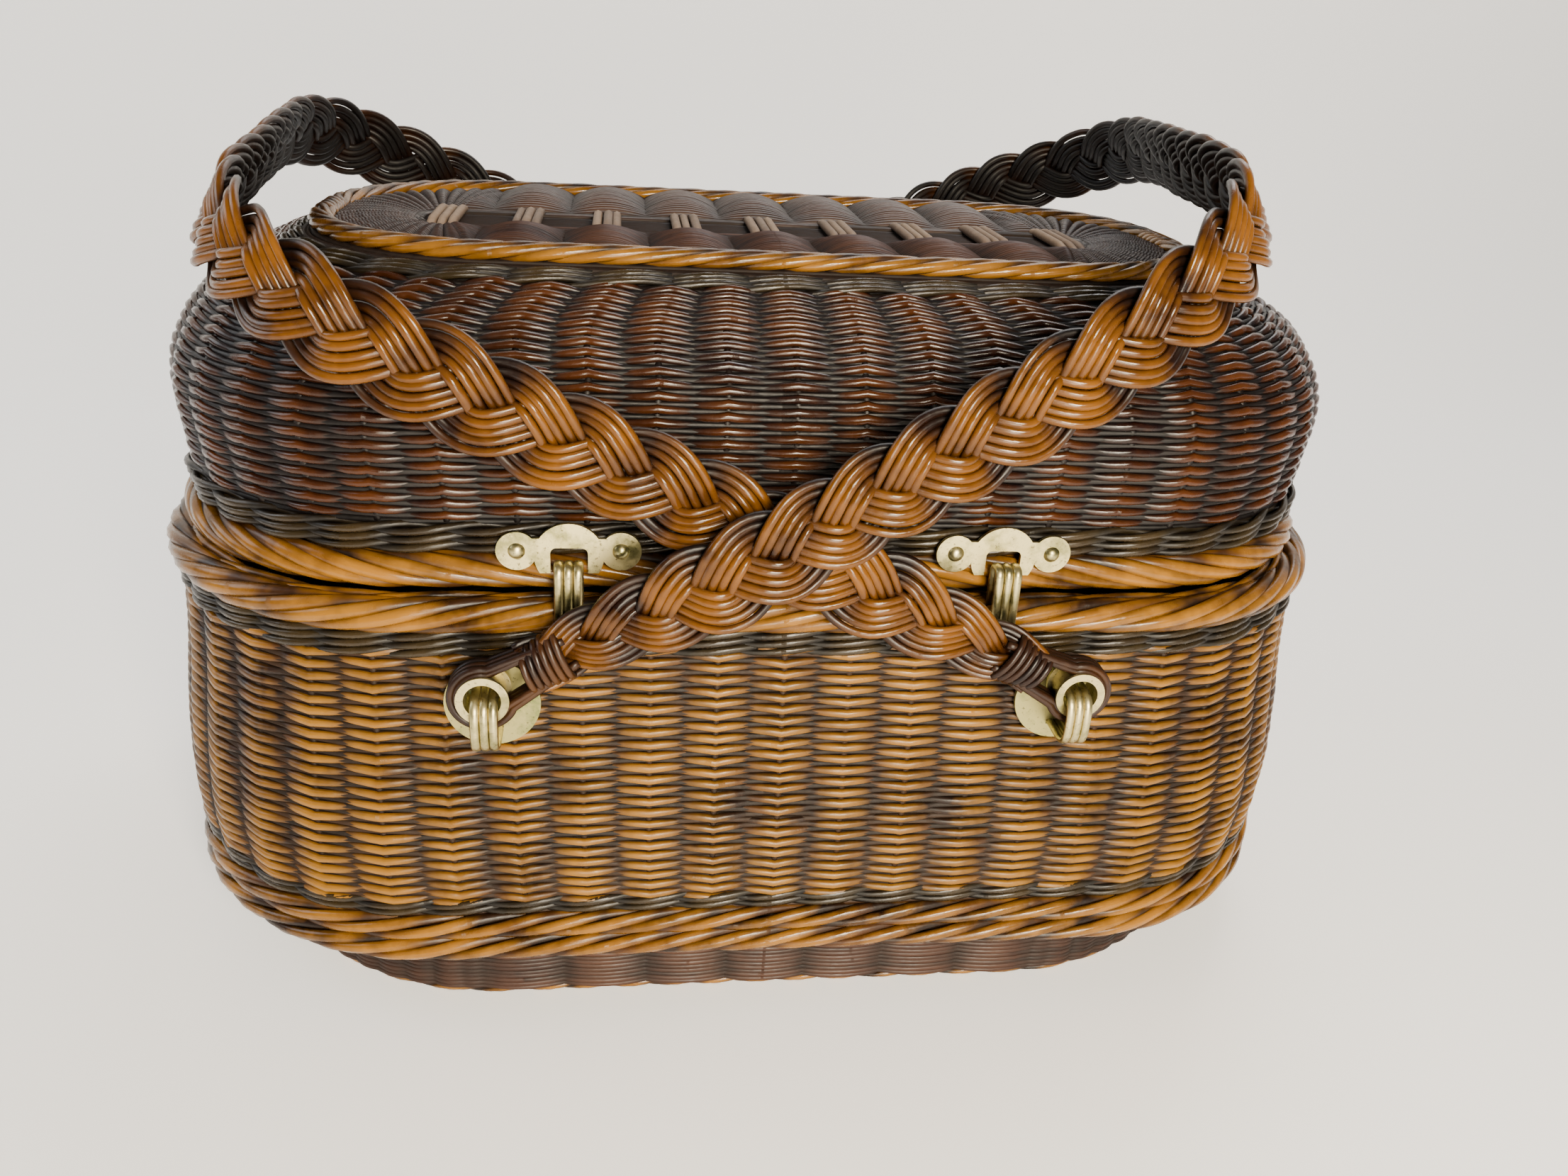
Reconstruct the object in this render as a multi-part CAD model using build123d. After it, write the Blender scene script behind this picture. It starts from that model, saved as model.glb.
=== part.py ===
from build123d import *
import os

# Lidded wicker basket with two swing handles. Millimetres, +X right, +Y back, +Z up.
# The origin is on the surface it stands on, under the middle of the basket.

# Driving dimensions
HALF_W = 200.0  # half width of the woven wall at mid height
HALF_D = 128.0  # half depth there
CORNER_R = 86.0  # plan corner radius there
WALL = 3.6  # thickness of the weave

FOOT_H = 24.0
PANEL_T = 5.0
WALL_BOTTOM = 26.0
WALL_TOP = 143.0
WALE_TOP = 42.0
RIM_TOP = 154.6
LID_BOTTOM = 155.0
LID_BORDER_TOP = 167.0
LID_WALE_TOP = 175.0
LID_WALL_TOP = 242.2
LID_TOP = 249.5

ROD_PITCH = 28.0
ROD_COUNT = 9
ROD_R = 1.7

PIVOT_X = 91.0
PIVOT_Z = 129.0
EYELET_Y = 138.0
EYELET_HOLE_R = 5.5
EYELET_BARREL_R = 6.3
EYELET_FLANGE_R = 7.8
EYELET_FLANGE_T = 1.0

BRAID_T = 8.0
BRAID_HALF_W = 15.0
NECK_HALF_W = 9.5
NECK_END = 25.0  # the plait widens from here, measured from the pivot axis
TAPER_END = 75.0  # and has its full width from here
LEG_BEND_R = 120.0
HANDLE_A_REACH = 296.0  # pivot axis to the middle of the grip
HANDLE_A_SKEW = 13.0  # the grip is this much nearer in front and further at the back
HANDLE_B_REACH = 286.0
HANDLE_B_SKEW = 25.0
HANDLE_CORNER_R = 80.0
HANDLE_A_ANGLE = 153.5  # leans over the left shoulder
HANDLE_B_ANGLE = 30.5  # leans over the right shoulder
HANDLE_A_Y = 138.0
HANDLE_B_Y = 149.0  # passes outside handle A

DISC_X = 89.5
DISC_Z = 121.0
DISC_R = 14.5
DISC_T = 1.4
HANDLE_WASHER_R = 9.0
HANDLE_WASHER_T = 1.2
LOOP_W = 8.0
LOOP_T = 1.6
LOOP_BOTTOM_Z = 111.5
LOOP_FRONT_Y = 146.5
LOOP_END_Y = 121.5

HASP_X = 66.0
HASP_RIVET_Z = 169.4
HASP_T = 1.4
HASP_RIVET_X = 15.2
HASP_EAR_R = 6.0
HASP_ARCH_R = 10.2
HASP_ARCH_Z = -1.5  # centre of the arch, from the rivets
HASP_ARCH_FOOT = -7.0
HASP_SLOT_W = 11.0
RIVET_DOME_R = 2.8
RIVET_DOME_H = 1.6
RIVET_SHANK_R = 1.5
STAPLE_W = 8.6
STAPLE_BOTTOM = 144.0
STAPLE_TOP = 168.0
HASP_WASHER_R = 5.0
HASP_WASHER_Y = -115.2  # on the inner face of the lid's wall
HASP_WASHER_T = 1.0
HASP_SHANK_END_Y = -113.6

HINGE_X = 117.0  # clear of the necks of the plaits
HINGE_Y = 129.8
HINGE_Z = 155.0
HINGE_W = 24.0
HINGE_MID = 5.0  # half length of the body's knuckle
HINGE_LEAF_BOTTOM = 124.0
HINGE_LEAF_TOP = 184.0
KNUCKLE_R = 2.8
KNUCKLE_GAP = 0.4
PIN_R = 1.3
PIN_CLEARANCE = 0.1
LEAF_T = 1.0
LEAF_RIVET_R = 2.2
LEAF_RIVET_H = 1.2

NODES = {}


def outline(z, grow, corner=CORNER_R, half_w=HALF_W, half_d=HALF_D):
    """Plan outline of the basket at height z, grown outwards by grow."""
    shape = RectangleRounded(2 * (half_w + grow), 2 * (half_d + grow), corner + grow)
    return Pos(0, 0, z) * shape


def shell(rows, thickness):
    """A wall through rows of (z, grow, corner, half_w, half_d), open at both ends."""
    outer = loft([outline(z, g, r, w, d) for z, g, r, w, d in rows])
    inner = loft([outline(z, g - thickness, r, w, d) for z, g, r, w, d in rows])
    return outer - inner, outer


def ring(z0, z1, outer, inner, edge, corner=CORNER_R, half_w=HALF_W, half_d=HALF_D):
    """A rolled border between two outlines, with its long edges rounded."""
    face = outline(z0, outer, corner, half_w, half_d) - outline(z0, inner, corner, half_w, half_d)
    solid = extrude(face, amount=z1 - z0)
    return fillet(solid.edges(), edge) if edge else solid


def mirrored(shapes, plane):
    """The shapes and their mirror images."""
    return shapes + [mirror(s, about=plane) for s in shapes]


def cut_all(target, tools):
    for tool in tools:
        target = target - tool
    return target


def along_y(radius, y0, y1, x, z):
    """A round bar along Y."""
    low, high = min(y0, y1), max(y0, y1)
    bar = Cylinder(radius, high - low, rotation=(90, 0, 0))
    return Pos(x, (low + high) / 2, z) * bar


def box_between(x0, x1, y0, y1, z0, z1):
    return Pos((x0 + x1) / 2, (y0 + y1) / 2, (z0 + z1) / 2) * Box(x1 - x0, y1 - y0, z1 - z0)


# Body: foot, base panel and its rods, wall, wales and rolled rim

BODY_ROWS = [
    (WALL_BOTTOM, 1.5, 92, HALF_W, HALF_D),
    (45, 4.5, 90, HALF_W, HALF_D),
    (65, 5.5, 88, HALF_W, HALF_D),
    (90, 3.5, 86, HALF_W, HALF_D),
    (115, 0.5, 86, HALF_W, HALF_D),
    (WALL_TOP, -1.5, 86, HALF_W, HALF_D),
]

body_wall, body_outer = shell(BODY_ROWS, WALL)


def foot_ring():
    rows = [(0, -4.5, 92, 180, 128), (FOOT_H, 0, 92, 184, 128)]
    return shell(rows, 7.0)[0]


def base_panel():
    inner = outline(FOOT_H, -3.0, 92, HALF_W, HALF_D)
    return extrude(inner, amount=WALL_BOTTOM - FOOT_H) + extrude(
        outline(WALL_BOTTOM, 1.5 - WALL, 90, HALF_W - 1.5, HALF_D - 1.5), amount=PANEL_T - 2
    )


def rods(z, half_length):
    """Bundles of three rods running front to back."""
    bundles = []
    for i in range(ROD_COUNT):
        x = (i - (ROD_COUNT - 1) / 2) * ROD_PITCH
        bar = Box(6 * ROD_R, 2 * half_length, 2 * ROD_R)
        bar = fillet(bar.edges().filter_by(Axis.Y), ROD_R * 0.9)
        bundles.append(Pos(x, 0, z) * bar)
    return bundles


NODES["foot_ring"] = [foot_ring()]
NODES["base_panel"] = [base_panel()]
NODES["base_rods"] = rods(FOOT_H + PANEL_T + ROD_R, 104)
base_wale = ring(FOOT_H, WALE_TOP, 7.6, -8, 3.0, 90) - body_outer
base_wale = base_wale - NODES["base_panel"][0]
NODES["base_wale"] = [max(base_wale.solids(), key=lambda s: s.volume)]
rim_wale = ring(WALL_TOP - 7, WALL_TOP, 1.0, -10, 0) - body_outer
NODES["rim_wale"] = [max(rim_wale.solids(), key=lambda s: s.bounding_box().size.X)]
NODES["rim_border"] = [ring(WALL_TOP, RIM_TOP, 2.5, -8.5, 4.0)]

# Lid: rolled bottom border, wale, bulging wall, top panel with its rods and twisted border

LID_ROWS = [
    (LID_BORDER_TOP, -9.0, 86, HALF_W, HALF_D),
    (185, -6.5, 86, HALF_W, HALF_D),
    (205, -5.5, 86, HALF_W, HALF_D),
    (220, -10.0, 84, HALF_W, HALF_D),
    (232, 0.0, 70, 180, 101),
    (LID_WALL_TOP - 0.3, 0.0, 65, 158, 76),
]
TOP_HALF_W = 156.0
TOP_HALF_D = 74.0
TOP_CORNER = 64.0

lid_wall, lid_outer = shell(LID_ROWS, WALL)
NODES["lid_bottom_border"] = [ring(LID_BOTTOM, LID_BORDER_TOP, -4.2, -15, 4.0)]
lid_wale = ring(LID_BORDER_TOP, LID_WALE_TOP, -4.7, -18, 0) - lid_outer
NODES["lid_wale"] = [max(lid_wale.solids(), key=lambda s: s.bounding_box().size.X)]
NODES["lid_top_border"] = [
    ring(LID_WALL_TOP, LID_TOP, 0, -9, 3.0, TOP_CORNER, TOP_HALF_W, TOP_HALF_D)
]
NODES["lid_top_panel"] = [
    extrude(outline(LID_WALL_TOP, -9.0, TOP_CORNER, TOP_HALF_W, TOP_HALF_D), amount=PANEL_T)
]
NODES["lid_top_rods"] = rods(LID_WALL_TOP - ROD_R, 62)

# Hasps: a plate with an arch, open below, on the lid, which drops over a staple on the rim

HASP_FACE_Y = -(HALF_D - 4.2)


def hasp_plate(x):
    """An arch in the middle, with a round ear for a rivet at each side."""
    arch = Pos(0, HASP_ARCH_Z) * Circle(HASP_ARCH_R)
    arch = arch & Pos(0, HASP_ARCH_FOOT + HASP_ARCH_R) * Rectangle(40, 2 * HASP_ARCH_R)
    ears = [Pos(s * HASP_RIVET_X, 0) * Circle(HASP_EAR_R) for s in (-1, 1)]
    bar = Pos(0, 0.5) * Rectangle(2 * HASP_RIVET_X, 7)
    slot = Pos(0, -9) * Rectangle(HASP_SLOT_W, 15) + Pos(0, -1.5) * RectangleRounded(
        HASP_SLOT_W, 5, 1.8
    )
    face = arch + ears[0] + ears[1] + bar - slot
    return Pos(x, HASP_FACE_Y, HASP_RIVET_Z) * extrude(Plane.XZ * face, amount=HASP_T)


def hasp_rivet(x):
    """A domed head on the plate and a shank through the border."""
    face = HASP_FACE_Y - HASP_T
    ball = Pos(x, face + RIVET_DOME_R - RIVET_DOME_H, HASP_RIVET_Z) * Sphere(RIVET_DOME_R)
    dome = ball & box_between(x - 10, x + 10, face - 10, face, HASP_RIVET_Z - 9, HASP_RIVET_Z + 9)
    shank = along_y(RIVET_SHANK_R, face, HASP_SHANK_END_Y, x, HASP_RIVET_Z)
    return dome + shank


def hasp_washer(x):
    y_end = HASP_WASHER_Y + HASP_WASHER_T
    return along_y(HASP_WASHER_R, HASP_WASHER_Y, y_end, x, HASP_RIVET_Z)


def staple(x):
    """A ribbed strap that stands up from the rim and turns back down behind its front."""
    front, back = -(HALF_D + 5.6), -(HALF_D - 2.4)
    y, z = (front + back) / 2, (STAPLE_BOTTOM + STAPLE_TOP) / 2
    height = STAPLE_TOP - STAPLE_BOTTOM
    strap = RectangleRounded(back - front, height, 2.8)
    strap = strap - RectangleRounded(back - front - 2 * LOOP_T, height - 2 * LOOP_T, 1.2)
    strap = Pos(x - STAPLE_W / 2, y, z) * extrude(Plane.YZ * strap, amount=STAPLE_W)
    return strap - NODES["rim_border"][0]


plates = [hasp_plate(x) for x in (-HASP_X, HASP_X)]
rivets = [hasp_rivet(x + s * HASP_RIVET_X) for x in (-HASP_X, HASP_X) for s in (-1, 1)]
shanks = [
    along_y(RIVET_SHANK_R, -140, -100, x + s * HASP_RIVET_X, HASP_RIVET_Z)
    for x in (-HASP_X, HASP_X)
    for s in (-1, 1)
]
NODES["hasp_plates"] = [cut_all(p, shanks) for p in plates]
NODES["hasp_rivets"] = rivets
for name in ("lid_wale", "lid_bottom_border"):
    NODES[name] = [cut_all(NODES[name][0], shanks)]
lid_wall = cut_all(lid_wall, shanks)
hasp_washers = [hasp_washer(x + s * HASP_RIVET_X) for x in (-HASP_X, HASP_X) for s in (-1, 1)]
NODES["hasp_washers"] = [cut_all(w, shanks) for w in hasp_washers]
NODES["lid_bottom_border"] = [cut_all(NODES["lid_bottom_border"][0], hasp_washers)]

staples = []
for x in (-HASP_X, HASP_X):
    pieces = staple(x).solids()
    staples.append(max(pieces, key=lambda s: s.volume))
NODES["hasp_staples"] = staples

# Handle fittings: a disc on the wall, a ribbed loop through the eyelet, and a washer inside


def handle_loop():
    """A ribbed strap round the lower edge of the eyelet, with both ends through the wall."""
    top, bottom = PIVOT_Z + 1.4, LOOP_BOTTOM_Z
    height = top - bottom
    depth = LOOP_FRONT_Y - LOOP_END_Y
    strap = Pos((-LOOP_FRONT_Y - LOOP_END_Y) / 2, (top + bottom) / 2) * (
        RectangleRounded(depth, height, 6.0)
        - RectangleRounded(depth - 2 * LOOP_T, height - 2 * LOOP_T, 4.4)
    )
    strap = Pos(DISC_X - LOOP_W / 2 + 1, 0, 0) * extrude(Plane.YZ * strap, amount=LOOP_W)
    return strap & box_between(0, 200, -200, -LOOP_END_Y - 3.1, 0, 200)


def wall_disc():
    """A flat disc lying on the wall."""
    disc = along_y(DISC_R, -HALF_D - 0.6, -HALF_D - 0.6 - DISC_T, DISC_X, DISC_Z)
    return disc - body_outer


def wall_washer():
    face = -HALF_D + WALL - 0.4
    return along_y(HANDLE_WASHER_R, face, face + HANDLE_WASHER_T, DISC_X, DISC_Z)


loops = [handle_loop()]
discs = mirrored(mirrored([cut_all(wall_disc(), loops)], Plane.YZ), Plane.XZ)
washers = mirrored(mirrored([cut_all(wall_washer(), loops)], Plane.YZ), Plane.XZ)
all_loops = mirrored(mirrored(loops, Plane.YZ), Plane.XZ)
NODES["handle_discs"] = discs
NODES["handle_washers"] = [w - body_wall for w in washers]
NODES["handle_loops"] = [s for joined in all_loops for s in joined.solids()]
body_wall = cut_all(body_wall, all_loops)

# Handles: a flat plait of cane, narrowed to a neck round an eyelet at each end


def strap_face(side, y_leg, reach, skew):
    """The region inside the plait's outer (side 1) or inner (side -1) face, seen square on."""
    grow = side * BRAID_T / 2
    y_end, y_leg = EYELET_Y + grow, y_leg + grow
    front, rear = reach - skew + grow, reach + skew + grow
    corners = [(80, -y_leg), (front, -y_leg), (rear, y_leg), (80, y_leg)]
    radii = [HANDLE_CORNER_R + grow, HANDLE_CORNER_R + grow]
    ends = [(-40, -y_end), (30, -y_end), (30, y_end), (-40, y_end)]
    if y_leg - y_end < 1:
        points = [ends[0]] + corners[1:3] + [ends[3]]
    else:
        points = ends[:2] + corners + ends[2:]
        radii = [LEG_BEND_R, LEG_BEND_R] + radii + [LEG_BEND_R, LEG_BEND_R]
    line = FilletPolyline(*points, radius=radii)
    return make_face(line + Line(points[-1], points[0]))


def braid(y_leg, reach, skew):
    """One plait in its own frame: X from the pivot to the grip, Z across its width."""
    face = strap_face(1, y_leg, reach, skew) - strap_face(-1, y_leg, reach, skew)
    strap = extrude(face, amount=BRAID_HALF_W, both=True)
    far = reach + 60
    side = make_face(
        Polyline(
            (0, -NECK_HALF_W),
            (NECK_END, -NECK_HALF_W),
            (TAPER_END, -BRAID_HALF_W),
            (far, -BRAID_HALF_W),
            (far, BRAID_HALF_W),
            (TAPER_END, BRAID_HALF_W),
            (NECK_END, NECK_HALF_W),
            (0, NECK_HALF_W),
            close=True,
        )
    ) + Circle(NECK_HALF_W)
    cutter = extrude(Plane.XZ * side, amount=200, both=True)
    strap = strap & cutter
    return strap - Cylinder(EYELET_BARREL_R, 400, rotation=(90, 0, 0))


def eyelet():
    """A flanged brass ring in the neck of the plait, front side."""
    half = BRAID_T / 2
    barrel = along_y(EYELET_BARREL_R, -EYELET_Y - half, -EYELET_Y + half, 0, 0)
    flanges = [
        along_y(EYELET_FLANGE_R, y, y + EYELET_FLANGE_T, 0, 0)
        for y in (-EYELET_Y - half - EYELET_FLANGE_T, -EYELET_Y + half)
    ]
    hole = along_y(EYELET_HOLE_R, -EYELET_Y - 20, -EYELET_Y + 20, 0, 0)
    return barrel + flanges[0] + flanges[1] - hole


def handle(name, pivot_x, angle, y_leg, reach, skew):
    place = Pos(pivot_x, 0, PIVOT_Z) * Rotation(0, -angle, 0)
    NODES[name + "_braid"] = [place * braid(y_leg, reach, skew)]
    NODES[name + "_eyelets"] = [place * s for s in mirrored([eyelet()], Plane.XZ)]


handle("handle_a", PIVOT_X, HANDLE_A_ANGLE, HANDLE_A_Y, HANDLE_A_REACH, HANDLE_A_SKEW)
handle("handle_b", -PIVOT_X, HANDLE_B_ANGLE, HANDLE_B_Y, HANDLE_B_REACH, HANDLE_B_SKEW)

# Rear hinges: a leaf on the body, a leaf on the lid, and a pin through both


def knuckle(x0, x1, bore):
    barrel = Cylinder(KNUCKLE_R, x1 - x0, rotation=(0, 90, 0))
    barrel = barrel - Cylinder(bore, x1 - x0 + 1, rotation=(0, 90, 0))
    return Pos((x0 + x1) / 2, HINGE_Y, HINGE_Z) * barrel


def knuckle_hole(x, radius):
    return Pos(x, HINGE_Y, HINGE_Z) * Cylinder(radius, HINGE_W + 4, rotation=(0, 90, 0))


def body_leaf(x):
    """A leaf on the back of the rim with one knuckle in the middle."""
    half = HINGE_W / 2
    y = HALF_D + 2.6
    plate = box_between(x - half, x + half, y, y + LEAF_T, HINGE_LEAF_BOTTOM, 150)
    arm = box_between(x - HINGE_MID, x + HINGE_MID, y, y + LEAF_T, 150, HINGE_Z)
    return plate + arm - knuckle_hole(x, PIN_R) + knuckle(x - HINGE_MID, x + HINGE_MID, PIN_R)


def lid_leaf(x):
    """A leaf on the back of the lid with a knuckle at each side."""
    half, mid = HINGE_W / 2, HINGE_MID + KNUCKLE_GAP
    bore = PIN_R + PIN_CLEARANCE
    y, z = HALF_D - 4.0, HINGE_Z + 1.6
    leaf = box_between(x - half, x + half, y, y + LEAF_T, z, HINGE_LEAF_TOP)
    for x0, x1 in ((x - half, x - mid), (x + mid, x + half)):
        web = box_between(x0, x1, y, HINGE_Y, z, z + LEAF_T) - knuckle_hole(x, bore)
        leaf = leaf + web + knuckle(x0, x1, bore)
    return leaf


def leaf_rivets(face, z):
    """Four short rivet heads on one pair of leaves."""
    return [
        along_y(LEAF_RIVET_R, face, face + LEAF_RIVET_H, x + s * HINGE_W / 3, z)
        for x in (-HINGE_X, HINGE_X)
        for s in (-1, 1)
    ]


def rim_notch(x):
    """The room that a hinge's knuckles take out of the rolled rim."""
    half = HINGE_W / 2 + 1
    y, z = HINGE_Y - KNUCKLE_R - 0.8, HINGE_Z - KNUCKLE_R - 0.4
    return box_between(x - half, x + half, y, HINGE_Y + 10, z, HINGE_Z + 5)


HINGES = (-HINGE_X, HINGE_X)
NODES["rim_border"] = [cut_all(NODES["rim_border"][0], [rim_notch(x) for x in HINGES])]
NODES["hinge_body_leaves"] = [body_leaf(x) for x in HINGES]
NODES["hinge_lid_leaves"] = [lid_leaf(x) for x in HINGES]
NODES["hinge_pins"] = [
    Pos(x, HINGE_Y, HINGE_Z) * Cylinder(PIN_R, HINGE_W + 2, rotation=(0, 90, 0)) for x in HINGES
]
NODES["hinge_body_rivets"] = leaf_rivets(HALF_D + 2.6 + LEAF_T, 142)
NODES["hinge_lid_rivets"] = leaf_rivets(HALF_D - 4.0 + LEAF_T, 178)

NODES["body_wall"] = [body_wall]
NODES["lid_wall"] = [lid_wall]

os.makedirs("parts", exist_ok=True)
for name, shapes in NODES.items():
    solids = [s for shape in shapes for s in shape.solids()]
    export_step(solids[0] if len(solids) == 1 else Compound(solids), f"parts/{name}.step")
    print(name, len(solids), "solids,", round(sum(s.volume for s in solids) / 1000, 1), "cm3")
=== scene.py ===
import math

import bpy
import numpy as np
from mathutils import Matrix, Vector


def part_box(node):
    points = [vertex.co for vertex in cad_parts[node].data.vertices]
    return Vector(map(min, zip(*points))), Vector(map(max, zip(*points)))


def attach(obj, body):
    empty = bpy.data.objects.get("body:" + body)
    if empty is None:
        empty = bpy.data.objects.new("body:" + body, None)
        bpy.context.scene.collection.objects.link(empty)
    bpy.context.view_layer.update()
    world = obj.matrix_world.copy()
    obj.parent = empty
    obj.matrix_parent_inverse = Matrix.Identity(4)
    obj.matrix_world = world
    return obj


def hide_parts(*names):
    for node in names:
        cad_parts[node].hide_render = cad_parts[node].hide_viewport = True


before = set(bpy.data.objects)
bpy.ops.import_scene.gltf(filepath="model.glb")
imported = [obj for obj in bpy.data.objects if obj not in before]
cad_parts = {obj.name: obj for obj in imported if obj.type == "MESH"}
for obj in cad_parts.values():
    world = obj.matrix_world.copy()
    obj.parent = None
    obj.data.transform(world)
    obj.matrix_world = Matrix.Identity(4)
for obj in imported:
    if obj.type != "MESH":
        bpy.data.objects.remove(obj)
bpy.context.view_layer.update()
rng = np.random.default_rng(7)

# All lengths below are in millimetres until a mesh is made.
MM = 1000.0


def low(node):
    return np.array(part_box(node)[0]) * MM


def high(node):
    return np.array(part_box(node)[1]) * MM


# Sizes from the frame
HALF_W = high("rim_border")[0] - 2.5
HALF_D = high("rim_border")[1] - 2.5
CORNER_R = 86.0
FOOT_TOP = high("foot_ring")[2]
WALL_TOP = high("body_wall")[2]
RIM_TOP = high("rim_border")[2]
LID_BOTTOM = low("lid_bottom_border")[2]
LID_BORDER_TOP = high("lid_bottom_border")[2]
LID_WALL_TOP = high("lid_wall")[2]
LID_TOP = high("lid_top_border")[2]
PANEL_W, PANEL_D = high("lid_top_panel")[0], high("lid_top_panel")[1]
TOP_W, TOP_D = high("lid_top_border")[0], high("lid_top_border")[1]

STAKES = 56
BODY_ROWS, LID_ROWS = 46, 43
DROOP = 0.65  # how far a cane dips where it crosses in front of a stake
CANE_R = 1.34
STAKE_R = 1.5
WEAVE_DEPTH = 1.5
INSET = 2.3  # middle of the weave, inside the CAD wall's outer face
BUNDLE_PITCH = 28.0
BUNDLES = 9


# Shapes


def plan(u, half_w, half_d, corner):
    """Points and outward normals at shares u round a rounded rectangle.

    Share 0 is the middle of the front, and shares grow towards the right.
    """
    flat_w, flat_d = HALF_W - CORNER_R, HALF_D - CORNER_R
    arc = CORNER_R * math.pi / 2
    share_w = flat_w / (flat_w + arc + flat_d)
    share_arc = arc / (flat_w + arc + flat_d)
    quarter = np.mod(u, 1.0) * 4
    side = np.minimum(quarter.astype(int), 3)
    t = quarter - side
    t = np.where(side % 2 == 1, 1 - t, t)
    turn = np.clip((t - share_w) / share_arc, 0, 1) * math.pi / 2
    along = np.clip(t / share_w, 0, 1)
    up = np.clip((t - share_w - share_arc) / (1 - share_w - share_arc), 0, 1)
    x = (half_w - corner) * along + corner * np.sin(turn)
    y = -(half_d - corner) * (1 - up) - corner * np.cos(turn)
    sx = np.where((side == 0) | (side == 1), 1.0, -1.0)
    sy = np.where((side == 0) | (side == 3), 1.0, -1.0)
    points = np.stack([x * sx, y * sy], -1)
    normals = np.stack([np.sin(turn) * sx, -np.cos(turn) * sy], -1)
    return points, normals


class Wall:
    """A wall through rows of (z, half_w, half_d, corner), followed by v from 0 at the bottom to 1."""

    def __init__(self, rows):
        rows = np.array(rows, float)
        knots = np.arange(len(rows))
        fine = np.linspace(0, len(rows) - 1, 241)
        slopes = np.gradient(rows, axis=0)
        i = np.minimum(fine.astype(int), len(rows) - 2)
        t = (fine - knots[i])[:, None]
        h0, h1 = 2 * t**3 - 3 * t**2 + 1, t**3 - 2 * t**2 + t
        h2, h3 = -2 * t**3 + 3 * t**2, t**3 - t**2
        self.table = h0 * rows[i] + h1 * slopes[i] + h2 * rows[i + 1] + h3 * slopes[i + 1]
        step = np.hypot(np.diff(self.table[:, 0]), np.diff(self.table[:, 2]))
        self.v = np.concatenate([[0], np.cumsum(step)])
        self.length = self.v[-1]
        self.v = self.v / self.length

    def sizes(self, v):
        return [np.interp(v, self.v, self.table[:, k]) for k in range(4)]

    def at(self, u, v, out=0.0):
        """Points and surface normals at shares u round and v up, moved outwards by out."""
        u, v = np.broadcast_arrays(np.asarray(u, float), np.asarray(v, float))
        z, half_w, half_d, corner = self.sizes(v)
        flat, normal = plan(u, half_w, half_d, corner)
        a, b = self.sizes(np.clip(v - 0.01, 0, 1)), self.sizes(np.clip(v + 0.01, 0, 1))
        rise, grow = b[0] - a[0], b[2] - a[2]
        size = np.hypot(rise, grow)
        tilt, level = -grow / size, rise / size
        normals = np.stack([normal[..., 0] * level, normal[..., 1] * level, tilt], -1)
        points = np.stack([flat[..., 0], flat[..., 1], z], -1)
        return points + normals * np.broadcast_to(out, u.shape)[..., None], normals


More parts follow.
